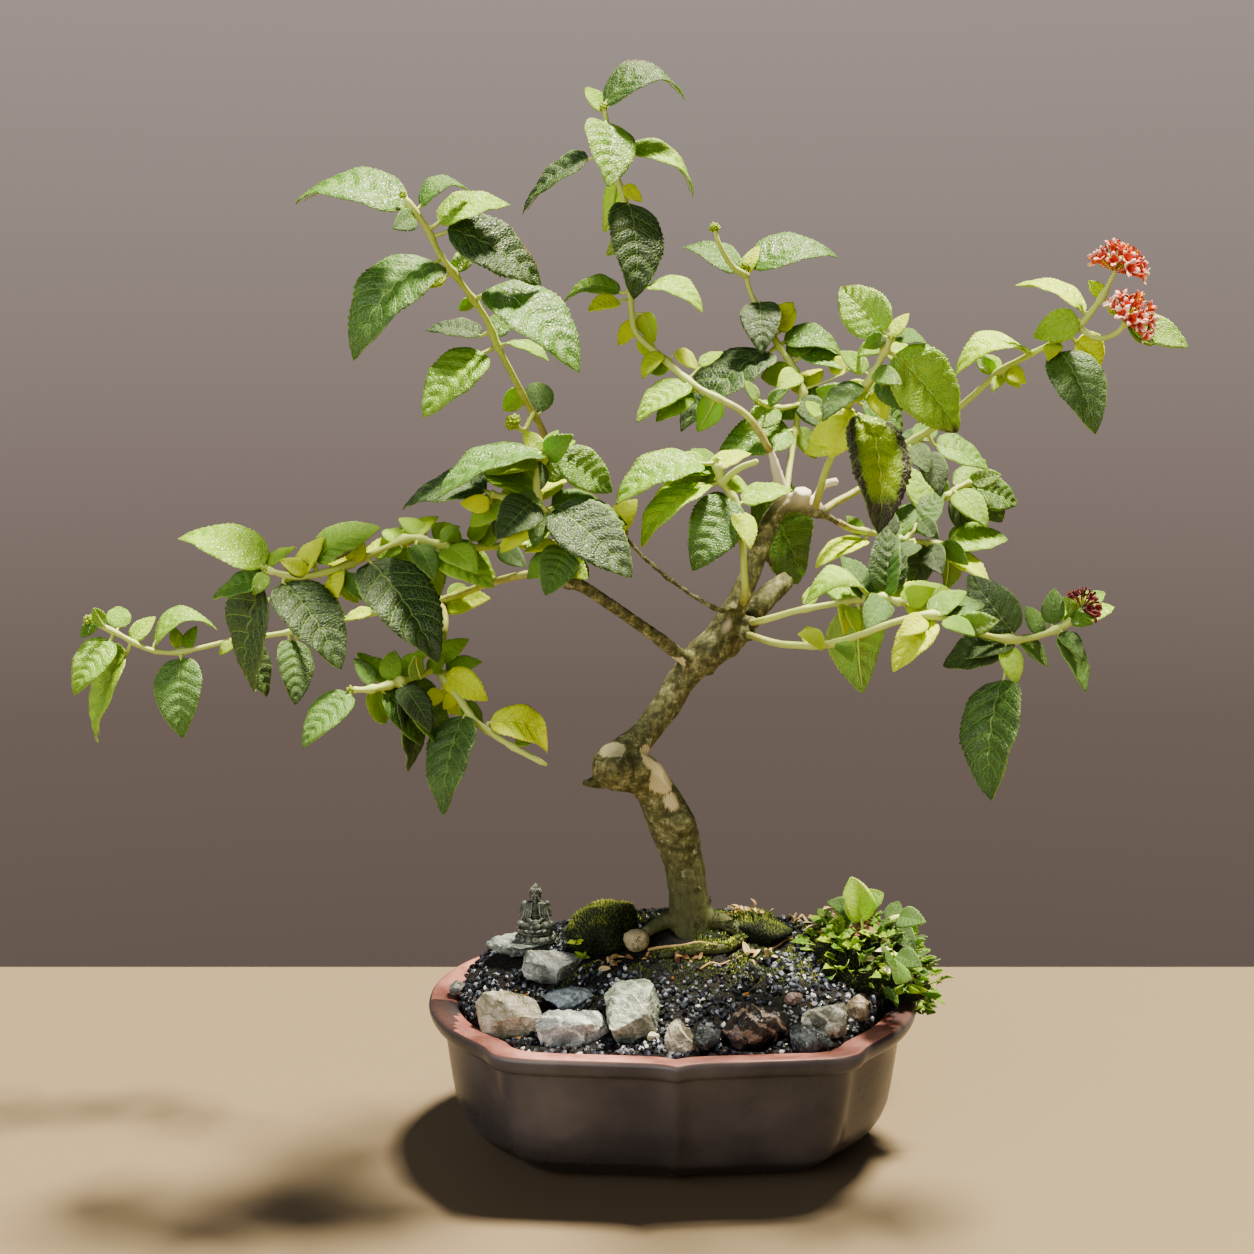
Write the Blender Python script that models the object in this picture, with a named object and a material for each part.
# A lantana grown as a bonsai in a glazed lobed pot: metres, +Z up, origin under the pot's middle.
# Places on the plant are read as picture places (across, down, in picture points) with a depth behind
# the pot's middle in millimetres, and seen_at() turns them into real ones from the pot's real length.

import math

import bmesh
import bpy
from mathutils import Matrix, Vector, noise
from mathutils.bvhtree import BVHTree

# Driving dimensions
POT_LENGTH = 0.200
POT_DEPTH = 0.152
POT_HEIGHT = 0.062
LIP_HEIGHT = 0.008
DRAIN_WIDTH = 0.009
DRAIN_APART = 0.056
SOIL_BELOW_RIM = 0.0045
MOUNDS = (  # middle along and deep, spread along and deep, rise
    (0.008, 0.010, 0.050, 0.032, 0.036),
    (-0.058, 0.034, 0.022, 0.020, 0.009),
    (0.078, 0.024, 0.024, 0.024, 0.010),
)
SOIL_RINGS = (0.87, 0.68, 0.44, 0.22)  # the soil's top, in shares of the pot's outline
SOIL_FLATTER = 0.966  # its rings' depth over their length, both as shares
SOIL_SHORE = 0.013  # how far under the rim the soil leaves the wall
GAP = 0.0003
OUTER_GAP = 1.3 * GAP  # the same for a cutter with coarse faces
BLADE_SHARE = 0.66  # a leaf's width over its length
RIB_THICK = 0.0014
RIB_TAPER = 0.45
PETIOLE_WIDTH = 0.0014
BLADE_FOLD = 0.14  # rise of a blade's edge over its half width
LONGEST_LEAF = 0.056
# A blade's fineness by its width: teeth on each side, and points along the rib before the tip
BLADE_FORMS = ((0.0125, 2, (0, 0.5)), (0.0215, 3, (0, 0.45)), (1.0, 4, (0, 0.3, 0.65)))
NATURAL_TILT = math.radians(20)  # how far a blade's rib leans in depth where its length alone doesn't say
LEAF_SIZES = (1.0, 0.88, 0.76, 0.64)  # sizes that a leaf is tried at until it is clear of its neighbours
ON_STEM = 0.5  # the share of a stalk's length, from its root, that is in or near its own stem
ON_PAD = 0.1  # the same on a plant whose stems stand in moss
BLADE_ONLY = 0.96
FLOWER_WIDTH = 0.019
DARK_FLOWER = 0.7  # the withered head's width over a fresh one's
# A floret's parts over its head's width: where it starts, its throat, its petals, and their reach
FLORET = {"foot": 0.08, "throat": 0.36, "petals": 0.42, "petal": 0.155, "notch": 0.1}
FLORET_SIDES = 8
HEAD_CORE = (0.62, 0.62, 0.56)
HEAD_LOW = 1.15  # how far down a head its florets reach: 1 is its middle
FIGURE_HEIGHT = 0.024
# The figure in shares of its height. Its base's steps: low, top, width, depth
FIGURE_STEPS = ((0, 0.16, 0.72, 0.56), (0.14, 0.24, 0.60, 0.46))
FIGURE_LUMPS = (  # middle along, deep and up, then width, depth and height
    (0, -0.02, 0.30, 0.66, 0.44, 0.17), (0, 0.03, 0.46, 0.36, 0.26, 0.44),  # crossed legs, trunk
    (0, 0.03, 0.60, 0.46, 0.24, 0.18), (0, 0.02, 0.68, 0.12, 0.12, 0.14),  # shoulders, neck
    (0, 0.0, 0.79, 0.22, 0.24, 0.27), (0, 0.02, 0.93, 0.11, 0.11, 0.12),  # head, topknot
    (-0.19, -0.02, 0.47, 0.12, 0.16, 0.32), (0.19, -0.02, 0.47, 0.12, 0.16, 0.32),  # arms
    (0, -0.15, 0.37, 0.22, 0.13, 0.10),  # hands in the lap
)

# A quarter of the pot's plan in shares of its half length and half depth: end lobe, crease, long lobe, cusp
QUARTER_OUTLINE = (
    (1, 0), (0.975, 0.25), (0.89, 0.50), (0.74, 0.745),
    (0.69, 0.845), (0.58, 0.90), (0.30, 0.935), (0.09, 0.96), (0, 1),
)
# Rings of its skin: shares of the half length and half depth, and height
LIP_LOW = POT_HEIGHT - LIP_HEIGHT
POT_OUTSIDE = (
    (0.70, 0.52, 0), (0.80, 0.635, 0.005), (0.875, 0.77, 0.0155), (0.908, 0.865, 0.031),
    (0.935, 0.925, LIP_LOW), (0.978, 0.972, LIP_LOW + 0.0008), (1.0, 1.0, POT_HEIGHT - 0.0045),
    (0.982, 0.978, POT_HEIGHT),
)
POT_INSIDE = (
    (0.95, 0.935, POT_HEIGHT - 0.0006), (0.893, 0.868, POT_HEIGHT - 0.004), (0.872, 0.84, 0.046),
    (0.83, 0.74, 0.018), (0.66, 0.49, 0.0065),
)

# The picture's viewpoint, all from the pot's length
VIEW_MIDDLE = 627
VIEW_FOCAL = 1760
POT_MIDDLE_ACROSS = 672
VIEW_DOWN = math.radians(9.2)
EYE_AWAY = 3.46 * POT_LENGTH
EYE_OVER_RIM = 1.323 * POT_LENGTH
EYE_SIDE = (VIEW_MIDDLE - POT_MIDDLE_ACROSS) / VIEW_FOCAL * 3.63 * POT_LENGTH
EYE = Vector((EYE_SIDE, -EYE_AWAY, POT_HEIGHT + EYE_OVER_RIM))
CROWN_DEPTH = 1.45  # the crown's depth over the depths noted for its limbs and shoots

# Wood, one row a limb: its sides' fineness, then (across, down, depth mm, thickness mm) from root to end
WOOD = (
    (2, ((694, 975, 2, 22), (693, 940, 2, 20.5), (691, 915, 2, 18), (688, 890, 2, 16.4), (684, 862, 2, 16.4),
         (678, 842, 1, 18.4), (672, 824, 0, 19.4), (663, 805, -1, 18), (655, 790, -2, 16.6),
         (645, 776, -4, 17), (630, 770, -8, 18), (614, 768, -10, 18.5), (603, 766, -11, 14))),
    (2, ((606, 770, -10, 13), (614, 762, -9, 17), (626, 751, -6, 14), (640, 739, -3, 12),
         (653, 723, 0, 12), (666, 706, 2, 12.4), (677, 687, 3, 12), (690, 668, 3, 13.4),
         (704, 655, 3, 15.5), (714, 646, 3, 13))),
    (1, ((700, 655, 3, 13), (716, 640, 3, 13), (728, 620, 3, 11.5), (740, 597, 4, 9.6), (751, 572, 6, 8.8),
         (761, 546, 8, 8.6), (771, 520, 10, 8.8), (783, 505, 11, 9), (799, 502, 11, 9.4), (813, 508, 11, 8.6),
         (824, 514, 11, 6))),
    (1, ((706, 655, 5, 12), (726, 646, 6, 12), (744, 626, 9, 11), (758, 606, 14, 10.4), (772, 592, 20, 10),
         (786, 580, 26, 8.6))),
    (1, ((712, 668, 3, 8), (697, 666, 1, 7), (680, 655, -2, 6.2), (650, 632, -8, 5.8),
         (620, 611, -14, 5.4), (592, 592, -19, 5), (578, 584, -21, 5.6), (569, 582, -22, 5.6))),
    (0, ((733, 607, 1, 4), (722, 611, -5, 3.4), (710, 606, -6, 3), (690, 594, -3, 2.8),
         (665, 576, 3, 2.8), (642, 556, 8, 2.8), (622, 533, 12, 2.8), (597, 500, 16, 2.8),
         (570, 468, 18, 2.8), (547, 442, 18, 2.8))),
    (1, ((784, 506, 11, 7), (781, 488, 10, 6.2), (777, 472, 9, 5), (772, 456, 8, 3.8), (767, 444, 7, 3.4))),
    (1, ((799, 505, 10, 8), (803, 490, 8, 8))),
    (1, ((808, 510, 12, 6), (817, 498, 12, 4.6), (822, 485, 12, 4), (838, 481, 12, 3.8))),
    (1, ((818, 512, 11, 5), (832, 519, 12, 3.6), (846, 526, 13, 3.2))),
    (1, ((745, 632, 8, 8), (750, 623, 3, 7), (753, 622, 0, 5))),
    (1, ((742, 632, 8, 8), (748, 634, 1, 6.5), (751, 635, -2, 5))),
    (1, ((612, 776, -8, 10), (597, 783, -10, 5.6), (582, 783, -11, 3))),
)
ROOTS = (  # surface roots, on the soil at (across, down), thickness mm
    ((697, 922, 8), (720, 924, 7.5), (736, 931, 6.5), (742, 942, 5.4),
     (728, 950, 4.8), (694, 953, 4.4), (658, 957, 3)),
    ((688, 922, 8), (664, 925, 7), (647, 934, 5.6), (634, 950, 3.6)),
)
ROOT_SUNK = 0.22  # share of a root's thickness that its middle lies over the soil
KNOB_ROUGH = 0.16
# Lumps on the wood (across, down, depth mm, width mm, height mm): the scar, the elbow, the fork, a limb's
# end and a root's knob
WOOD_LUMPS = (
    (679, 823, -4, 13, 12), (613, 767, -11, 18.5, 16), (711, 650, 2, 15.5, 15), (569, 582, -22, 7, 6.4),
    (636, 940, -8, 11, 10),
)

# Leafy shoots: what each grows from, its stems (across, down, depth mm), thickness at its root and tip in mm,
# and its leaves: (across, down) of the blade's base and tip, its seen width, and -1 where the tip leans
# towards the viewer or 1 where it leans away, with how much it arches where that is more than usual.
SHOOTS = {
    "shoot_upper_left": {
        "from": "wood", "thick": (2.8, 2.0),
        "stems": (
            ((547, 442, 18), (540, 425, 16), (528, 405, 12), (510, 370, 4), (497, 345, -2),
             (487, 320, -7), (470, 295, -12), (455, 275, -16), (440, 255, -20), (428, 230, -24),
             (415, 212, -27), (404, 196, -28)),
            ((533, 413, 13), (524, 430, 8), (515, 424, 6)),
        ),
        "buds": (3.4, 8),
        "leaves": (
            (404, 208, 295, 201, 32, 1, 0.16), (420, 206, 470, 190, 16, 1, 0.3),
            (438, 222, 520, 203, 30, 1, 0.14), (448, 229, 543, 283, 50, 1),
            (436, 262, 353, 360, 58, -1, 0.16), (492, 287, 581, 368, 56, -1), (494, 336, 515, 305, 28, 1),
            (480, 335, 425, 329, 18, 1), (482, 352, 423, 417, 45, -1), (507, 342, 573, 370, 18, -1),
            (541, 412, 535, 382, 34, 1),
        ),
    },
    "shoot_top": {
        "from": "wood", "thick": (3.0, 1.8),
        "stems": (
            ((767, 446, 7), (755, 425, 6), (740, 410, 6), (715, 397, 8), (693, 385, 10), (665, 360, 14),
             (637, 335, 18), (632, 315, 20), (630, 290, 22), (627, 250, 24), (625, 205, 26), (618, 180, 26),
             (610, 140, 26), (604, 108, 26)),
        ),
        "buds": (3.4,),
        "leaves": (
            (604, 104, 685, 99, 24, 1, 0.34), (606, 122, 608, 187, 50, -1), (588, 158, 520, 212, 18, 1),
            (628, 150, 695, 195, 16, 1, 0.2), (617, 184, 605, 232, 28, 1), (628, 203, 636, 298, 54, -1),
            (620, 292, 562, 303, 16, 1, 0.2), (648, 286, 703, 312, 22, -1, 0.2),
            (642, 313, 655, 342, 22, 1), (688, 383, 636, 420, 28, -1), (676, 352, 702, 372, 18, 1),
            (700, 366, 726, 350, 14, 1),
        ),
    },
    "shoot_mid_top": {
        "from": "wood", "thick": (2.8, 2.0),
        "stems": (
            ((786, 504, 13), (788, 478, 20), (792, 450, 26), (800, 405, 32), (803, 390, 33), (792, 365, 36),
             (778, 345, 38), (765, 322, 40), (755, 303, 42), (748, 285, 42), (745, 268, 42)),
            ((747, 276, 42), (732, 266, 38), (719, 244, 34), (715, 230, 34)),
            ((801, 404, 32), (778, 408, 24), (758, 402, 18)),
        ),
        "buds": (5.6, 5.6, 3.2),
        "leaves": (
            (737, 272, 683, 247, 24, 1, 0.14), (752, 268, 838, 257, 30, 1, 0.16),
            (760, 302, 762, 352, 42, -1), (784, 342, 850, 358, 25, 1, 0.22), (768, 352, 680, 430, 45, -1),
            (757, 400, 742, 378, 14, 1), (768, 404, 795, 385, 18, -1), (790, 430, 718, 455, 44, -1),
            (806, 392, 838, 410, 20, 1), (802, 394, 818, 368, 26, 1), (757, 492, 801, 584, 66, 1),
        ),
    },
    "shoot_centre_right": {
        "from": "wood", "thick": (3.2, 2.0),
        "stems": (
            ((815, 508, 10), (820, 490, 0), (826, 470, -12), (836, 445, -22), (850, 402, -34),
             (870, 380, -40), (885, 350, -44), (890, 338, -45)),
            ((846, 416, -31), (832, 413, -26), (818, 418, -22)),
        ),
        "buds": (3.4, 0),
        "leaves": (
            (885, 332, 840, 287, 50, 1), (895, 355, 958, 432, 66, 1), (860, 384, 800, 440, 40, -1),
            (867, 415, 880, 533, 62, -1), (852, 410, 830, 458, 38, 1), (862, 404, 905, 430, 38, 1),
            (895, 340, 932, 348, 14, 1, 0.2), (820, 418, 804, 398, 16, 1), (874, 372, 902, 384, 22, -1),
            (884, 348, 852, 358, 18, 1, 0.2),
        ),
    },
    "shoot_right_flower": {
        "from": "wood", "thick": (3.2, 1.8),
        "stems": (
            ((820, 513, 12), (836, 502, 18), (855, 492, 22), (880, 474, 24), (905, 447, 22), (930, 430, 18),
             (968, 400, 8), (1000, 372, -2), (1035, 352, -10), (1060, 340, -16), (1080, 325, -20),
             (1100, 300, -24), (1113, 276, -26), (1116, 268, -26)),
            ((1078, 327, -19), (1097, 338, -24), (1115, 334, -30), (1127, 322, -33)),
        ),
        "buds": (),
        "leaves": (
            (936, 446, 990, 468, 26, 1), (926, 452, 950, 522, 45, -1), (1028, 352, 955, 372, 25, -1, 0.24),
            (1002, 376, 990, 394, 14, -1), (1006, 372, 1020, 388, 14, -1), (998, 370, 984, 352, 16, 1),
            (1132, 324, 1188, 347, 28, -1), (1085, 312, 1016, 284, 14, 1, 0.14),
            (1078, 318, 1033, 337, 34, 1), (1076, 342, 1102, 368, 36, 1), (1060, 352, 1097, 432, 50, -1),
            (905, 452, 912, 424, 18, 1),
        ),
    },
    "shoot_right_mid": {
        "from": "wood", "thick": (2.8, 2.0),
        "stems": (
            ((842, 524, 13), (852, 529, 16), (868, 532, 22), (905, 540, 34), (950, 545, 42)),
            ((905, 540, 34), (925, 515, 40), (955, 490, 44), (972, 482, 46)),
        ),
        "buds": (),
        "leaves": (
            (950, 543, 1016, 538, 33, 1), (928, 546, 942, 574, 28, -1), (915, 543, 896, 562, 22, -1),
            (902, 536, 905, 503, 30, 1), (866, 540, 815, 566, 20, -1), (974, 482, 1002, 522, 35, 1),
            (960, 488, 984, 458, 22, 1), (930, 512, 912, 486, 22, 1), (956, 492, 988, 526, 28, -1),
            (948, 548, 946, 590, 26, 1),
        ),
    },
    "shoot_right_low": {
        "from": "wood", "thick": (3.0, 2.0),
        "stems": (((746, 624, 4), (760, 621, -4), (775, 617, -8), (800, 610, -12), (845, 602, -16),
                   (875, 597, -18), (903, 603, -20)),),
        "buds": (0,),
        "leaves": (
            (885, 592, 885, 525, 40, 1), (866, 592, 805, 604, 25, -1, 0.34), (907, 600, 935, 588, 26, -1),
            (906, 606, 934, 613, 18, -1), (858, 606, 862, 692, 62, 1), (872, 597, 842, 572, 24, 1),
        ),
    },
    "shoot_right_long": {
        "from": "wood", "thick": (3.0, 2.0),
        "stems": (((744, 633, 4), (758, 638, -10), (775, 643, -20), (790, 645, -26), (825, 645, -34),
                   (860, 635, -40), (895, 622, -42), (935, 615, -42), (975, 632, -38), (1018, 640, -34),
                   (1060, 628, -32), (1080, 612, -32), (1085, 604, -32)),),
        "buds": (),
        "leaves": (
            (825, 644, 795, 632, 22, -1), (840, 642, 852, 662, 18, -1), (933, 620, 893, 672, 35, -1),
            (938, 612, 985, 605, 24, 1), (1014, 642, 937, 667, 35, -1), (1013, 634, 968, 575, 48, 1),
            (1003, 680, 990, 800, 58, -1), (1052, 624, 1055, 583, 28, 1), (1064, 622, 1114, 607, 26, 1),
            (1060, 636, 1086, 692, 22, -1), (1074, 616, 1062, 594, 14, -1),
        ),
    },
    "shoot_upright": {
        "from": "wood", "thick": (3.4, 2.2),
        "stems": (
            ((743, 601, 1), (745, 590, -5), (744, 570, -8), (742, 535, -8), (735, 502, -6), (722, 482, -6),
             (717, 462, -6)),
            ((722, 482, -6), (740, 468, -10), (758, 461, -12)),
        ),
        "buds": (3.2, 0),
        "leaves": (
            (730, 499, 693, 570, 58, -1), (700, 462, 615, 502, 38, -1, 0.12),
            (708, 484, 640, 545, 30, -1, 0.12), (712, 464, 688, 447, 18, 1), (716, 470, 667, 474, 18, 1),
        ),
    },
    "shoot_centre_left": {
        "from": "wood", "thick": (2.8, 2.0),
        "stems": (
            ((569, 580, -22), (565, 562, -24), (560, 545, -26), (549, 520, -28), (538, 500, -30),
             (538, 475, -30), (543, 452, -30)),
            ((538, 500, -30), (513, 499, -34), (490, 494, -36)),
        ),
        "buds": (3.2, 0),
        "leaves": (
            (541, 454, 438, 497, 30, -1, 0.12), (540, 462, 482, 475, 22, 1), (536, 486, 452, 478, 20, 1),
            (545, 452, 560, 427, 16, 1), (547, 456, 579, 438, 18, 1), (560, 455, 620, 497, 48, 1),
            (556, 508, 632, 577, 62, -1), (541, 462, 542, 498, 14, -1), (566, 548, 545, 595, 42, -1),
            (571, 558, 600, 588, 22, -1), (533, 502, 497, 538, 44, -1), (555, 545, 520, 553, 14, 1),
            (490, 504, 443, 503, 32, -1), (486, 490, 402, 508, 30, 1, 0.12), (536, 520, 499, 552, 26, 1),
            (552, 506, 628, 524, 30, 1),
        ),
    },
    "shoot_left_up": {
        "from": "wood", "thick": (2.8, 2.0),
        "stems": (((622, 533, 12), (606, 537, 8), (575, 541, 2), (520, 545, -6), (470, 548, -14),
                   (440, 545, -18), (412, 538, -20), (385, 548, -24), (345, 566, -30), (300, 577, -36),
                   (267, 570, -38)),),
        "buds": (3.2,),
        "leaves": (
            (263, 567, 178, 535, 40, 1, 0.12), (268, 566, 300, 543, 14, 1), (307, 572, 280, 560, 20, -1),
            (314, 560, 388, 520, 38, 1), (402, 548, 360, 564, 22, -1), (425, 536, 395, 516, 20, 1),
            (440, 540, 462, 524, 14, -1), (438, 552, 494, 588, 38, -1), (422, 552, 438, 602, 32, 1),
            (370, 562, 438, 662, 68, -1), (264, 580, 212, 598, 22, 1), (262, 585, 252, 692, 42, 1),
            (284, 583, 342, 668, 58, -1), (470, 540, 492, 516, 20, 1), (350, 564, 316, 553, 26, 1),
            (345, 574, 368, 608, 26, -1), (408, 546, 406, 600, 28, 1),
        ),
    },
    "shoot_left_low": {
        "from": "wood", "thick": (3.2, 1.8),
        "stems": (((570, 583, -22), (550, 577, -20), (530, 574, -16), (490, 583, -8), (440, 601, 4),
                   (375, 612, 16), (290, 632, 26), (235, 640, 30), (180, 652, 30), (150, 650, 28),
                   (120, 635, 26), (90, 620, 24)),),
        "buds": (4.4,),
        "leaves": (
            (110, 640, 73, 694, 34, -1), (126, 652, 93, 742, 25, 1), (118, 628, 120, 603, 28, 1),
            (154, 644, 217, 628, 18, 1, 0.36), (181, 658, 182, 738, 47, -1), (297, 642, 298, 706, 40, 1),
            (236, 634, 228, 606, 14, 1),
        ),
    },
    "shoot_left_hanging": {
        "from": "shoot_left_low", "thick": (2.8, 2.2),
        "stems": (
            ((440, 601, 4), (445, 618, -4), (443, 642, -16), (438, 668, -26), (460, 700, -34),
             (480, 725, -38), (515, 748, -40), (547, 765, -41)),
            ((438, 668, -26), (420, 675, -34), (400, 682, -40), (372, 689, -45), (352, 690, -47)),
        ),
        "buds": (0, 3.2),
        "leaves": (
            (350, 694, 302, 747, 34, -1), (372, 684, 352, 654, 20, 1), (388, 680, 396, 646, 28, 1),
            (402, 686, 447, 757, 48, -1), (384, 692, 424, 745, 34, 1), (447, 680, 462, 714, 34, 1),
            (446, 670, 487, 660, 20, 1), (490, 722, 548, 753, 34, 1, 0.3), (464, 716, 443, 815, 46, -1),
            (420, 678, 414, 652, 20, -1),
        ),
    },
    "weed_plant": {
        "from": "moss_right", "thick": (2.0, 1.6),
        "stems": (
            ((868, 950, -1), (860, 928, 0), (857, 914, 1), (855, 904, 2)),
            ((866, 944, -1), (876, 932, 0), (890, 921, 1), (905, 915, 1)),
            ((866, 944, -1), (882, 948, -5), (895, 955, -11), (907, 961, -16)),
        ),
        "buds": (0, 0, 0),
        "leaves": (
            (856, 908, 850, 876, 26, 1), (860, 905, 884, 893, 24, 1), (853, 912, 828, 902, 20, -1),
            (898, 918, 925, 922, 24, -1), (890, 922, 900, 898, 22, 1), (896, 926, 915, 950, 24, -1),
            (896, 956, 922, 966, 24, -1), (890, 956, 896, 984, 22, -1), (850, 918, 838, 936, 16, -1),
        ),
    },
}
FLOWERS = {  # the shoot each ends, its middle (across, down, depth mm) and the point its stalk comes from
    "flower_high": ("shoot_right_flower", (1122, 256, -26), (1113, 276, -26)),
    "flower_second": ("shoot_right_flower", (1136, 309, -34), (1121, 328, -32)),
    "flower_dark": ("shoot_right_long", (1088, 600, -32), (1075, 616, -32)),
}
FLORETS = 10
DARK_FLORETS = 7

# Stones, placed where the line of sight through (across, down) meets the soil: length, depth and height
# in mm, then the turn on the soil in degrees and the share of the height that shows
STONES = {
    "stone_figure_seat": (521, 950, 30, 24, 9, 4, 0.8),
    "stone_back_pale": (549, 973, 22, 16, 12, -8, 0.58),
    "stone_left_small": (456, 990, 8, 7, 5, 20, 0.6),
    "stone_cream_long": (504, 1026, 27, 15, 15, -32, 0.58),
    "stone_blue_flat": (568, 1002, 19, 13, 6, 6, 0.5),
    "stone_front_pale": (570, 1036, 26, 14, 12, 10, 0.56),
    "stone_tall_grey": (629, 1028, 23, 21, 21, 62, 0.64),
    "stone_cream_pebble": (653, 1040, 6, 6, 6, 0, 0.7),
    "stone_crumbly": (678, 1047, 11, 10, 12, 30, 0.6),
    "stone_dark_front": (704, 1046, 14, 10, 12, 70, 0.6),
    "stone_brown_streaked": (754, 1037, 28, 15, 18, 12, 0.62),
    "stone_dark_right": (808, 1048, 15, 10, 10, -10, 0.6),
    "stone_light_crumbly": (824, 1030, 17, 12, 12, 15, 0.6),
    "stone_tan": (857, 1015, 12, 10, 12, 0, 0.62),
    "stone_pinkish": (792, 1002, 7, 6, 6, 20, 0.65),
}
STONE_ROUGH = 0.5
STONE_SMALLER = 0.94  # the step by which a stone shrinks until it is clear
SMALLEST_STONE = 0.5
SMALL_STONE = 12.5  # mm, under which a stone has only the coarsest faces
MOSS = {  # the same way as the stones
    "moss_left": (606, 936, 31, 27, 15, 0, 0.45),
    "moss_middle": (752, 926, 30, 22, 14, 0, 0.45),
    "moss_right": (862, 958, 60, 34, 33, -12, 0.42),
}
FIGURE_SEAT = (536, 946)
FLAT_AT = 0.27  # where the figure's slab is flat, over its middle, as a share of its height

COLOURS = {  # linear colour, roughness
    "glaze": ((0.045, 0.033, 0.028), 0.22),
    "soil": ((0.05, 0.045, 0.04), 0.95),
    "bark": ((0.23, 0.20, 0.11), 0.85),
    "leaf": ((0.09, 0.22, 0.035), 0.45),
    "weed": ((0.16, 0.32, 0.04), 0.5),
    "petal": ((0.55, 0.06, 0.03), 0.6),
    "petal_dark": ((0.22, 0.02, 0.03), 0.6),
    "stone": ((0.32, 0.34, 0.31), 0.8),
    "moss": ((0.05, 0.09, 0.015), 0.95),
    "figure": ((0.12, 0.13, 0.11), 0.7),
}


def seen_at(across, down, depth):
    """The real place of a picture place, depth millimetres behind the pot's middle."""
    side = (across - VIEW_MIDDLE) / VIEW_FOCAL
    lift = (VIEW_MIDDLE - down) / VIEW_FOCAL
    ray = Vector((
        side,
        math.cos(VIEW_DOWN) + lift * math.sin(VIEW_DOWN),
        lift * math.cos(VIEW_DOWN) - math.sin(VIEW_DOWN),
    ))
    return EYE + ray * ((depth / 1000 - EYE.y) / ray.y)


def grown_at(across, down, depth):
    """The same for a place on the plant, whose depths are noted before its crown is spread."""
    return seen_at(across, down, depth * CROWN_DEPTH)


def material(name):
    found = bpy.data.materials.get(name)
    if found:
        return found
    made = bpy.data.materials.new(name)
    made.use_nodes = True
    shader = made.node_tree.nodes["Principled BSDF"]
    colour, rough = COLOURS[name]
    shader.inputs["Base Color"].default_value = (*colour, 1)
    shader.inputs["Roughness"].default_value = rough
    return made


def object_of(name, bm, finish=None):
    bmesh.ops.remove_doubles(bm, verts=bm.verts, dist=1e-6)
    bmesh.ops.recalc_face_normals(bm, faces=bm.faces)
    mesh = bpy.data.meshes.new(name)
    bm.to_mesh(mesh)
    bm.free()
    made = bpy.data.objects.new(name, mesh)
    bpy.context.scene.collection.objects.link(made)
    if finish:
        mesh.materials.append(material(finish))
    return made


def drop(*objects):
    for obj in objects:
        mesh = obj.data
        bpy.data.objects.remove(obj)
        bpy.data.meshes.remove(mesh)


def combine(target, others, operation):
    """Fuses the others with the target, or cuts them out of it, and removes them."""
    if not others:
        return target
    group = bpy.data.collections.new("tools")
    bpy.context.scene.collection.children.link(group)
    for other in others:
        bpy.context.scene.collection.objects.unlink(other)
        group.objects.link(other)
    modifier = target.modifiers.new("combine", "BOOLEAN")
    modifier.operation = operation
    modifier.solver = "MANIFOLD"
    modifier.operand_type = "COLLECTION"
    modifier.collection = group
    graph = bpy.context.evaluated_depsgraph_get()
    before = target.data
    target.data = bpy.data.meshes.new_from_object(target.evaluated_get(graph))
    target.modifiers.clear()
    bpy.data.meshes.remove(before)
    drop(*others)
    bpy.data.collections.remove(group)
    return target


def tube(name, points, thick, fineness, grow=0.0, finish=None):
    """A closed tube through real points, thick in millimetres at each."""
    curve = bpy.data.curves.new(name, "CURVE")
    curve.dimensions = "3D"
    curve.bevel_depth = 1.0
    curve.bevel_resolution = fineness
    curve.use_fill_caps = True
    points = list(points)
    if grow:
        points[0] = points[0] + (points[0] - points[1]).normalized() * grow
        points[-1] = points[-1] + (points[-1] - points[-2]).normalized() * grow
    spline = curve.splines.new("POLY")
    spline.points.add(len(points) - 1)
    for slot, point, across in zip(spline.points, points, thick):
        slot.co = (*point, 1)
        slot.radius = across / 2000 + grow
    guide = bpy.data.objects.new(name, curve)
    bpy.context.scene.collection.objects.link(guide)
    graph = bpy.context.evaluated_depsgraph_get()
    bm = bmesh.new()
    mesh = bpy.data.meshes.new_from_object(guide.evaluated_get(graph))
    bm.from_mesh(mesh)
    bpy.data.meshes.remove(mesh)
    bpy.data.objects.remove(guide)
    bpy.data.curves.remove(curve)
    return object_of(name, bm, finish)


def lump(name, place, size, turn, fineness, rough, grow=0.0, finish=None):
    """A rounded lump with an uneven surface, sized along, across and up in metres."""
    bm = bmesh.new()
    bmesh.ops.create_icosphere(bm, subdivisions=fineness, radius=1)
    seed = Vector((place.x, place.y, place.z)) * 97
    for vert in bm.verts:
        uneven = 1 + rough * noise.noise(vert.co * 1.3 + seed)
        shaped = Vector(vert.co[i] * size[i] / 2 * uneven for i in range(3))
        vert.co = shaped + vert.co.normalized() * grow
    bmesh.ops.rotate(bm, verts=bm.verts, matrix=Matrix.Rotation(turn, 3, "Z"))
    bmesh.ops.translate(bm, verts=bm.verts, vec=place)
    return object_of(name, bm, finish)


# The pot and its soil

def rim_outline(share_long, share_deep):
    """The pot's lobed outline, from a quarter's points: an end lobe, a crease and a long lobe with a cusp."""
    turned = [(-x, y) for x, y in reversed(QUARTER_OUTLINE[:-1])]
    half = [*QUARTER_OUTLINE, *turned]
    whole = [*half, *((-x, -y) for x, y in half[1:-1])]
    return [(x * share_long * POT_LENGTH / 2, y * share_deep * POT_DEPTH / 2) for x, y in whole]


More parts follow.
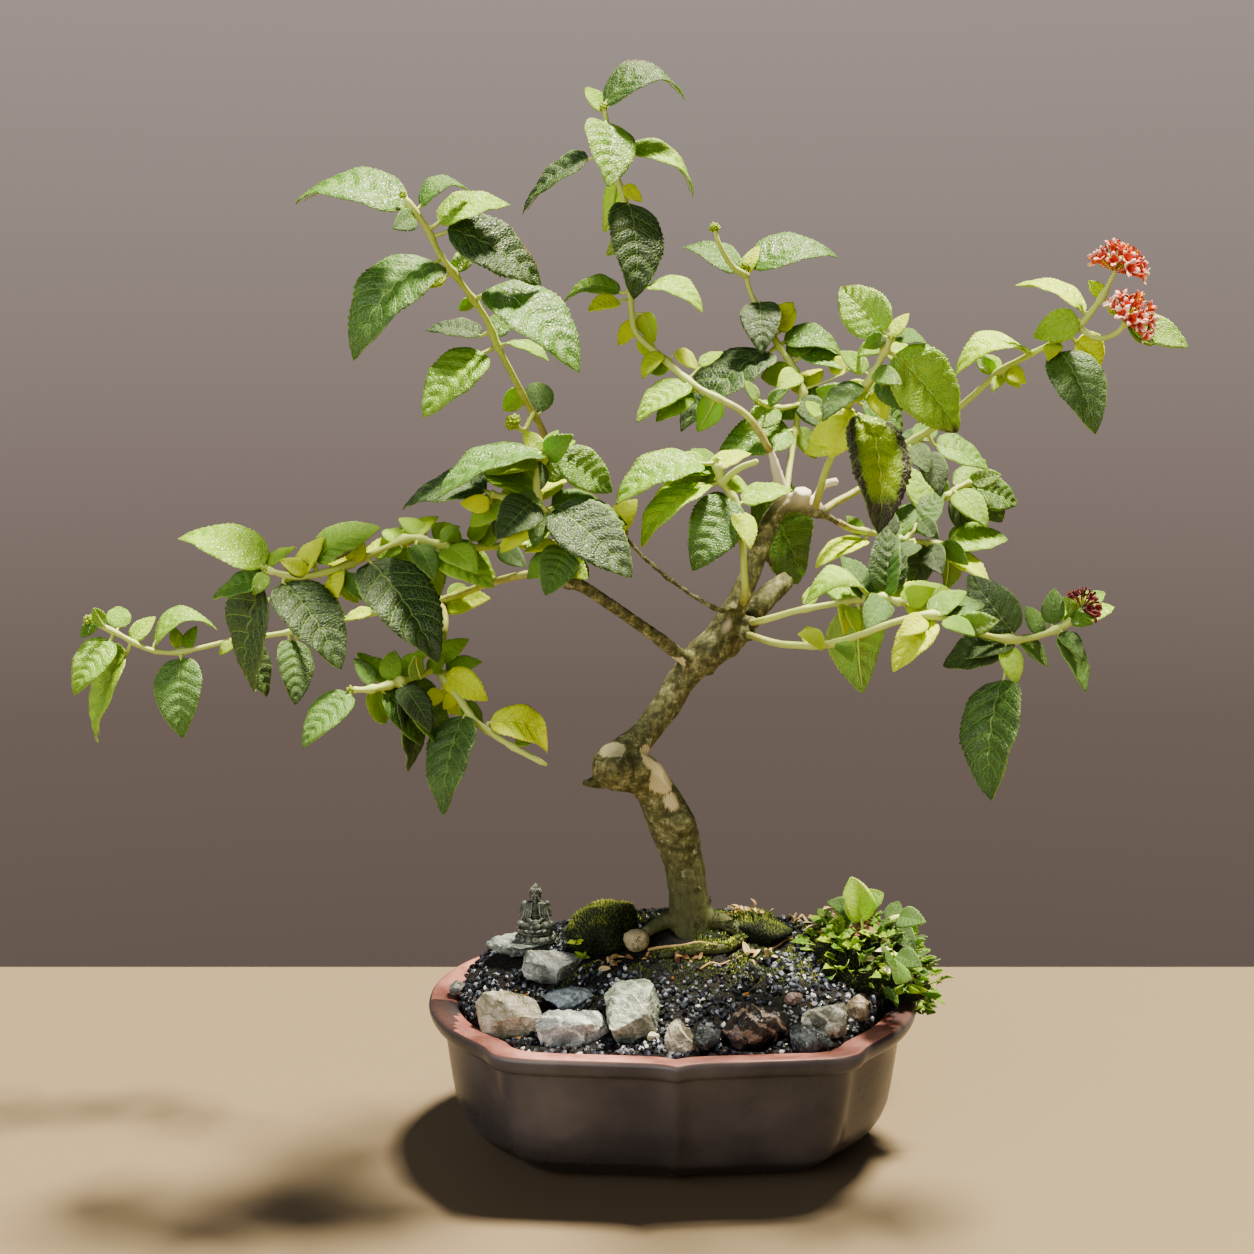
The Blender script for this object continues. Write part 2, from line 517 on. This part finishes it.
def skin(bm, rings):
    """Closed skin through rings given as (share of the length, share of the depth, height)."""
    loops = []
    for long, deep, height in rings:
        loops.append([bm.verts.new((x, y, height)) for x, y in rim_outline(long, deep)])
    for lower, upper in zip(loops, loops[1:]):
        join_loops(bm, lower, upper)
    return loops


def join_loops(bm, lower, upper):
    count = len(lower)
    for i in range(count):
        bm.faces.new((lower[i], lower[(i + 1) % count], upper[(i + 1) % count], upper[i]))


def make_pot(grow=0.0):
    """The pot: bowl, lip and inside wall in one skin, with two drain holes off the middle."""
    bm = bmesh.new()
    wider = grow / (POT_DEPTH / 2) * 1.3
    outer = [(long + wider, deep + wider, height) for long, deep, height in POT_OUTSIDE]
    inner = [(long - wider, deep - wider, height + grow) for long, deep, height in POT_INSIDE]
    if grow:
        outer[-1] = (*outer[-1][:2], outer[-1][2] + grow)
    loops = skin(bm, outer + inner)
    bm.faces.new(list(reversed(loops[0])))
    bm.faces.new(loops[-1])
    pot = object_of("pot", bm, "glaze")
    if grow:
        return pot
    drains = []
    for side in (-1, 1):
        cutter = bmesh.new()
        bmesh.ops.create_cone(cutter, cap_ends=True, segments=8, radius1=DRAIN_WIDTH / 2,
                              radius2=DRAIN_WIDTH / 2, depth=4 * POT_INSIDE[-1][2])
        bmesh.ops.translate(cutter, vec=(side * DRAIN_APART / 2, 0, 0), verts=cutter.verts)
        drains.append(object_of("drain", cutter))
    return combine(pot, drains, "DIFFERENCE")


def soil_height(x, y):
    rise = sum(
        lift * math.exp(-(((x - along) / spread_along) ** 2 + ((y - deep) / spread_deep) ** 2) / 2)
        for along, deep, spread_along, spread_deep, lift in MOUNDS
    )
    return POT_HEIGHT - SOIL_BELOW_RIM + rise


def on_soil(across, down):
    """Where the line of sight through a picture place first meets the soil."""
    depth = -POT_DEPTH * 500
    place = seen_at(across, down, depth)
    while place.z > soil_height(place.x, place.y) and depth < POT_DEPTH * 500:
        depth += 0.25
        place = seen_at(across, down, depth)
    return place


def make_soil():
    bm = bmesh.new()
    spare = GAP / (POT_DEPTH / 2) * 1.6
    wall = [(long - spare, deep - spare, height + GAP) for long, deep, height in reversed(POT_INSIDE[2:])]
    wall[-1] = (*wall[-1][:2], POT_HEIGHT - SOIL_SHORE)
    loops = skin(bm, wall)
    bm.faces.new(list(reversed(loops[0])))
    below = loops[-1]
    for share in SOIL_RINGS:
        shore = rim_outline(share, share * SOIL_FLATTER)
        ring = [bm.verts.new((x, y, soil_height(x, y))) for x, y in shore]
        join_loops(bm, below, ring)
        below = ring
    peak = bm.verts.new((0, 0, soil_height(0, 0)))
    for i, vert in enumerate(below):
        bm.faces.new((vert, below[(i + 1) % len(below)], peak))
    bmesh.ops.triangulate(bm, faces=bm.faces)
    return object_of("soil", bm, "soil")


def bedded(name, row, finish, grow=0.0, shrink=1.0):
    """A stone or a pad of moss, bedded in the soil where it shows."""
    across, down, length, depth, height, turn, shows = row
    fineness = 1 if length < SMALL_STONE else 2
    place = on_soil(across, down)
    place.z = soil_height(place.x, place.y) + height / 1000 * (shows - 0.5) * shrink
    size = (length / 1000 * shrink, depth / 1000 * shrink, height / 1000 * shrink)
    return lump(name, place, size, math.radians(turn), fineness, STONE_ROUGH, grow, finish)


# Wood

def make_wood(name, grow=0.0, finish=None):
    limbs = []
    for fineness, row in WOOD:
        points = [grown_at(across, down, depth) for across, down, depth, _ in row]
        limbs.append(tube("limb", points, [point[3] for point in row], fineness, grow))
    for row in ROOTS:
        points = [on_soil(across, down) + Vector((0, 0, thick / 1000 * ROOT_SUNK))
                  for across, down, thick in row]
        limbs.append(tube("root", points, [point[2] for point in row], 1, grow))
    for across, down, depth, width, height in WOOD_LUMPS:
        size = (width / 1000, width / 1000, height / 1000)
        limbs.append(lump("knob", grown_at(across, down, depth), size, 0, 2, KNOB_ROUGH, grow))
    wood = combine(limbs[0], limbs[1:], "UNION")
    wood.name = name
    if finish:
        wood.data.materials.clear()
        wood.data.materials.append(material(finish))
    return wood


# Leaves

def half_width(t):
    """A blade's half width along its rib, as a share of the widest."""
    return math.sin(math.pi * t ** 0.6) ** (0.7 + 0.5 * t)


def edge_shares(teeth):
    """(share along the rib, share of the half width) of a toothed edge."""
    shares = []
    for tooth in range(teeth):
        if tooth:
            shares.append((tooth / teeth, 0.86 * half_width(tooth / teeth)))
        point = (tooth + 0.7) / teeth
        shares.append((point, half_width(point)))
    return shares


def nearest_on(stems, across, down):
    """The place on a shoot's stems, in the picture, that a leaf's stalk comes from."""
    best = None
    for stem in stems:
        for first, last in zip(stem, stem[1:]):
            run = (last[0] - first[0], last[1] - first[1])
            share = ((across - first[0]) * run[0] + (down - first[1]) * run[1]) / (run[0] ** 2 + run[1] ** 2)
            share = min(max(share, 0.0), 1.0)
            place = [first[i] + (last[i] - first[i]) * share for i in range(3)]
            away = math.hypot(place[0] - across, place[1] - down)
            if best is None or away < best[0]:
                best = (away, place)
    return best[1]


def leaf_form(row, stems, swing, smaller=1.0):
    """Places one leaf. A blade keeps its natural proportion: one that is seen narrow is turned about its rib,
    and one that is seen short leans towards the viewer or away. swing moves its tip further in depth."""
    base_across, base_down, tip_across, tip_down, width, lean = row[:6]
    arch = row[6] if len(row) > 6 else 0.07
    joint = nearest_on(stems, base_across, base_down)
    base_depth = joint[2] * CROWN_DEPTH + 0.4 * swing + lean * 1.5
    base = seen_at(base_across, base_down, base_depth)
    flat_tip = seen_at(tip_across, tip_down, base_depth)
    seen_long = (flat_tip - base).length * smaller
    seen_wide = width / VIEW_FOCAL * (base - EYE).length * smaller
    length = min(max(seen_long / math.cos(NATURAL_TILT), seen_wide / BLADE_SHARE), LONGEST_LEAF)
    length = max(length, seen_long)
    lean_depth = lean * math.sqrt(max(length * length - seen_long * seen_long, 0)) * 1000
    far_tip = seen_at(tip_across, tip_down, base_depth + lean_depth + 0.6 * swing)
    tip = base + (far_tip - base) * smaller
    length = (tip - base).length
    blade_width = max(length * BLADE_SHARE, seen_wide)
    along = (tip - base).normalized()
    to_eye = (EYE - base).normalized()
    flat_side = along.cross(to_eye).normalized()
    flat_up = flat_side.cross(along)
    turn = math.acos(min(seen_wide / blade_width, 1))
    ups = [flat_up * math.cos(turn) - flat_side * math.sin(turn) * way for way in (1, -1)]
    up = max(ups, key=lambda candidate: candidate.z)
    if up.z < -0.2:
        up = -up
    return {
        "root": grown_at(*joint), "base": base, "along": along, "up": up, "side": along.cross(up),
        "length": length, "width": blade_width, "arch": arch,
    }


def blade_point(form, t, across, over):
    """A point of a leaf: t along its rib, across it in metres, and over its middle surface."""
    rise = form["arch"] * form["length"] * 4 * t * (1 - t) + BLADE_FOLD * abs(across) + over
    return form["base"] + form["along"] * (form["length"] * t) + form["side"] * across + form["up"] * rise


def zip_faces(bm, rib, edge):
    """Triangles between a rib's few points and an edge's many, both as (share, vert) ending at the tip."""
    i, j = 0, 0
    while (i, j) != (len(rib) - 1, len(edge) - 1):
        on_rib = j == len(edge) - 1 or (i < len(rib) - 1 and rib[i + 1][0] < edge[j + 1][0])
        third = rib[i + 1][1] if on_rib else edge[j + 1][1]
        if third not in (rib[i][1], edge[j][1]) and rib[i][1] != edge[j][1]:
            bm.faces.new((rib[i][1], edge[j][1], third))
        i, j = (i + 1, j) if on_rib else (i, j + 1)


def make_leaf(form, grow=0.0, stalk_from=0.0):
    """A toothed blade, thickest along its rib, whose stalk runs into the stem. Returns its bmesh."""
    bm = bmesh.new()
    teeth, stations = next(row[1:] for row in BLADE_FORMS if form["width"] < row[0])
    half = form["width"] / 2
    thick = RIB_THICK / 2 + grow
    narrow = PETIOLE_WIDTH / 2 + grow
    tip = bm.verts.new(blade_point(form, 1 + grow / form["length"], 0, 0))
    ribs = {}
    for face in (1, -1):
        ribs[face] = [(t, bm.verts.new(blade_point(form, t, 0, face * thick * (1 - RIB_TAPER * t))))
                      for t in stations]
        ribs[face].append((1, tip))
    edges = {}
    for hand in (1, -1):
        edges[hand] = [(0, bm.verts.new(blade_point(form, 0, hand * narrow, 0)))]
        for t, share in edge_shares(teeth):
            edges[hand].append((t, bm.verts.new(blade_point(form, t, hand * (half * share + grow), 0))))
        edges[hand].append((1, tip))
        for face in (1, -1):
            zip_faces(bm, ribs[face], edges[hand])
    root = form["root"].lerp(form["base"], stalk_from)
    reach = (form["base"] - root).normalized()
    side = reach.cross(form["up"])
    side = side.normalized() if side.length > 0.2 else form["side"]
    up = side.cross(reach)
    offsets = (up * thick, side * narrow, -up * thick, -side * narrow)
    ring = [bm.verts.new(root + offset) for offset in offsets]
    hand = 1 if side.dot(form["side"]) > 0 else -1
    collar = [ribs[1][0][1], edges[hand][0][1], ribs[-1][0][1], edges[-hand][0][1]]
    for i in range(4):
        bm.faces.new((ring[i], ring[(i + 1) % 4], collar[(i + 1) % 4], collar[i]))
    bm.faces.new(ring)
    bmesh.ops.triangulate(bm, faces=bm.faces)
    return bm


class Clear:
    """What is already placed, so that each further leaf can be swung clear of it."""

    def __init__(self):
        self.places = []
        self.faces = []

    def add(self, bm):
        first = len(self.places)
        bm.verts.index_update()
        self.places += [vert.co.copy() for vert in bm.verts]
        self.faces += [tuple(first + vert.index for vert in face.verts) for face in bm.faces]

    def tree(self):
        return BVHTree.FromPolygons(self.places, self.faces)


def mesh_tree(bm):
    return BVHTree.FromBMesh(bm)


SWINGS = (0, 6, -6, 12, -12, 18, -18, 24, -24, 32, -32, 40, -40, 48, -48)
CLEARANCE = 0.0005


def settle_leaf(row, stems, placed, own_stems, stalk_from):
    """The leaf's form at the first swing that is clear of all that is placed. Its stalk is tested from
    stalk_from of its length on, because its root lies in the stem."""
    fixed = placed.tree()
    for smaller in LEAF_SIZES:
        for lean in (row[5], -row[5]):
            for swing in SWINGS:
                form = leaf_form((*row[:5], lean, *row[6:]), stems, swing, smaller)
                test = make_leaf(form, CLEARANCE, stalk_from)
                test_tree = mesh_tree(test)
                test.free()
                if test_tree.overlap(fixed):
                    continue
                blade = make_leaf(form, CLEARANCE, BLADE_ONLY)
                blade_tree = mesh_tree(blade)
                blade.free()
                if not blade_tree.overlap(own_stems):
                    return form
    return None


def stem_objects(name, grow=0.0, only_first=False):
    shoot = SHOOTS[name]
    made = []
    for order, stem in enumerate(shoot["stems"]):
        thick_root, thick_tip = shoot["thick"]
        if order:
            thick_root = (thick_root + thick_tip) / 2
        points = [grown_at(*point) for point in stem]
        thick = [thick_root + (thick_tip - thick_root) * i / (len(stem) - 1) for i in range(len(stem))]
        made.append(tube("stem", points, thick, 0, grow))
        if only_first:
            break
    return made


def bmesh_of(obj):
    bm = bmesh.new()
    bm.from_mesh(obj.data)
    bmesh.ops.triangulate(bm, faces=bm.faces)
    return bm


def make_bud(stem, width):
    """A bud round the tip of a stem."""
    size = (width / 1000, width / 1000, width / 1000)
    return lump("bud", grown_at(*stem[-1]), size, 0, 1, 0.3)


def make_shoots(solids):
    """Every leafy shoot: stems first, so that all leaves swing clear of all stems."""
    placed = Clear()
    for solid in solids:
        bm = bmesh_of(solid)
        placed.add(bm)
        bm.free()
    stems = {name: stem_objects(name) for name in SHOOTS}
    stem_meshes = {}
    for name, made in stems.items():
        stem_meshes[name] = [bmesh_of(stem) for stem in made]
    shoots = []
    for name, shoot in SHOOTS.items():
        others = Clear()
        others.places, others.faces = list(placed.places), list(placed.faces)
        for other, meshes in stem_meshes.items():
            for bm in meshes:
                if other != name:
                    others.add(bm)
        own = Clear()
        for bm in stem_meshes[name]:
            own.add(bm)
        own_tree = own.tree()
        pieces = [make_bud(stem, width) for stem, width in zip(shoot["stems"], shoot["buds"]) if width]
        stalk_from = ON_PAD if shoot["from"] in MOSS else ON_STEM
        for row in shoot["leaves"]:
            form = settle_leaf(row, shoot["stems"], others, own_tree, stalk_from)
            if form is None:
                print("no clear place in", name, row)
                continue
            shape = make_leaf(form)
            others.add(shape)
            placed.add(shape)
            pieces.append(object_of("leaf", shape))
        body = combine(stems[name][0], stems[name][1:] + pieces, "UNION")
        body.name = name
        body.data.materials.clear()
        body.data.materials.append(material("weed" if name == "weed_plant" else "leaf"))
        shoots.append(body)
    for meshes in stem_meshes.values():
        for bm in meshes:
            bm.free()
    return shoots


def trim_roots(shoots, pads):
    """Trims each shoot's root to lie just off the wood or the stem that it grows from. A plant that grows
    in moss keeps its root, in plain holes that are cut there."""
    for shoot in shoots:
        parent = SHOOTS[shoot.name]["from"]
        if parent == "wood":
            combine(shoot, [make_wood("cutter", GAP)], "DIFFERENCE")
        elif parent in pads:
            combine(pads[parent], stem_objects(shoot.name, GAP), "DIFFERENCE")
        else:
            combine(shoot, stem_objects(parent, GAP, True), "DIFFERENCE")


# Flowers

def make_flower(name, row):
    """A domed head: a small core that trumpet-shaped florets with four petals stand out of."""
    shoot, middle, below = row
    centre = grown_at(*middle)
    up = (centre - grown_at(*below)).normalized()
    dark = name == "flower_dark"
    width = FLOWER_WIDTH * (DARK_FLOWER if dark else 1)
    florets = DARK_FLORETS if dark else FLORETS
    turn = up.to_track_quat("Z", "Y").to_matrix()
    core = lump("core", centre, [width * share for share in HEAD_CORE], 0, 1, 0.1)
    pieces = []
    golden = math.pi * (3 - math.sqrt(5))
    for i in range(florets):
        rise = 1 - HEAD_LOW * (i + 0.5) / florets
        flat = math.sqrt(1 - rise * rise)
        out = turn @ Vector((flat * math.cos(golden * i), flat * math.sin(golden * i), rise))
        bm = bmesh.new()
        deep = bm.verts.new(centre + out * width * FLORET["foot"])
        throat = bm.verts.new(centre + out * width * FLORET["throat"])
        side = out.orthogonal().normalized()
        other = out.cross(side)
        ring = []
        for k in range(FLORET_SIDES):
            reach = width * FLORET["notch" if k % 2 else "petal"]
            angle = 2 * math.pi / FLORET_SIDES * k + i
            spread = side * math.cos(angle) + other * math.sin(angle)
            ring.append(bm.verts.new(centre + out * width * FLORET["petals"] + spread * reach))
        for first, second in zip(ring, ring[1:] + ring[:1]):
            bm.faces.new((first, second, throat))
            bm.faces.new((second, first, deep))
        pieces.append(object_of("floret", bm))
    head = combine(core, pieces, "UNION")
    head.name = name
    head.data.materials.clear()
    head.data.materials.append(material("petal_dark" if dark else "petal"))
    return combine(head, stem_objects(shoot, GAP), "DIFFERENCE")


# The seated figure

def make_figure(shrink):
    """A plain seated figure on a two-step base, set on its flat stone."""
    high = FIGURE_HEIGHT
    ground = on_soil(*FIGURE_SEAT)
    across, down, _, _, tall, _, shows = STONES["stone_figure_seat"]
    slab = on_soil(across, down)
    ground.z = soil_height(slab.x, slab.y) + tall / 1000 * (shows - 0.5 + FLAT_AT) * shrink

    pieces = []
    for low, top, width, deep in FIGURE_STEPS:
        bm = bmesh.new()
        bmesh.ops.create_cone(bm, cap_ends=True, segments=12, radius1=width * high / 2,
                              radius2=width * high / 2 * 0.9, depth=(top - low) * high)
        bmesh.ops.scale(bm, vec=(1, deep / width, 1), verts=bm.verts)
        bmesh.ops.translate(bm, vec=ground + Vector((0, 0, (low + top) / 2 * high)), verts=bm.verts)
        pieces.append(object_of("step", bm))
    for x, y, z, width, deep, tall in FIGURE_LUMPS:
        place = ground + Vector((x, y, z)) * high
        fineness = 2 if min(width, tall) > 0.2 else 1
        pieces.append(lump("ball", place, (width * high, deep * high, tall * high), 0, fineness, 0.0))
    figure = combine(pieces[0], pieces[1:], "UNION")
    figure.name = "seated_figure"
    figure.data.materials.clear()
    figure.data.materials.append(material("figure"))
    return figure


# Assembly

def bed_stones(pot, wood):
    """Stones in order, each made smaller until it is clear of the pot, the wood and the stones before it."""
    placed = Clear()
    for solid in (pot, wood):
        bm = bmesh_of(solid)
        placed.add(bm)
        bm.free()
    stones = {}
    shrinks = {}
    for name, row in STONES.items():
        shrink = 1.0
        while True:
            test = bedded("test", row, None, 2 * GAP, shrink)
            bm = bmesh_of(test)
            drop(test)
            clash = mesh_tree(bm).overlap(placed.tree())
            bm.free()
            if not clash or shrink < SMALLEST_STONE:
                break
            shrink *= STONE_SMALLER
        stones[name] = bedded(name, row, "stone", 0.0, shrink)
        shrinks[name] = shrink
        bm = bmesh_of(stones[name])
        placed.add(bm)
        bm.free()
    return stones, shrinks


def bed_figure(figure, stone):
    """Cuts a flat seat in the stone, a gap below the figure's base."""
    low = min(vert.co.z for vert in figure.data.vertices)
    middle = sum((vert.co for vert in stone.data.vertices), Vector()) / len(stone.data.vertices)
    side = 2 * STONES[stone.name][2] / 1000
    bm = bmesh.new()
    bmesh.ops.create_cube(bm, size=side)
    bmesh.ops.translate(bm, vec=(middle.x, middle.y, low - GAP + side / 2), verts=bm.verts)
    combine(stone, [object_of("cutter", bm)], "DIFFERENCE")


def pad_lump(name, pad, grow=0.0):
    """A pad of moss before it is cut clear."""
    return bedded(name, MOSS[pad], None if grow else "moss", grow)


def bed_moss(shrinks):
    pads = [pad_lump(name, name) for name in MOSS]
    for pad in pads:
        combine(pad, [make_wood("cutter", GAP)], "DIFFERENCE")
        combine(pad, fat_stones(shrinks), "DIFFERENCE")
        if pad.name == "moss_right":
            combine(pad, [make_pot(GAP)], "DIFFERENCE")
    return {pad.name: pad for pad in pads}


def bed_soil(shrinks):
    soil = make_soil()
    combine(soil, [make_wood("cutter", GAP)], "DIFFERENCE")
    combine(soil, fat_stones(shrinks), "DIFFERENCE")
    combine(soil, [pad_lump("cutter", name, OUTER_GAP) for name in MOSS], "DIFFERENCE")


def fat_stones(shrinks):
    return [bedded("cutter", row, None, OUTER_GAP, shrinks[name]) for name, row in STONES.items()]


def build():
    for obj in list(bpy.data.objects):
        bpy.data.objects.remove(obj)
    pot = make_pot()
    wood = make_wood("trunk", 0.0, "bark")
    stones, shrinks = bed_stones(pot, wood)
    figure = make_figure(shrinks["stone_figure_seat"])
    bed_figure(figure, stones["stone_figure_seat"])
    pads = bed_moss(shrinks)
    bed_soil(shrinks)
    flowers = [make_flower(name, row) for name, row in FLOWERS.items()]
    shoots = make_shoots([pot, wood, figure, *stones.values(), *pads.values(), *flowers])
    trim_roots(shoots, pads)
    for obj in bpy.data.objects:
        if obj.type == "MESH":
            obj.data.shade_smooth()
            obj.data.set_sharp_from_angle(angle=math.radians(35))


build()
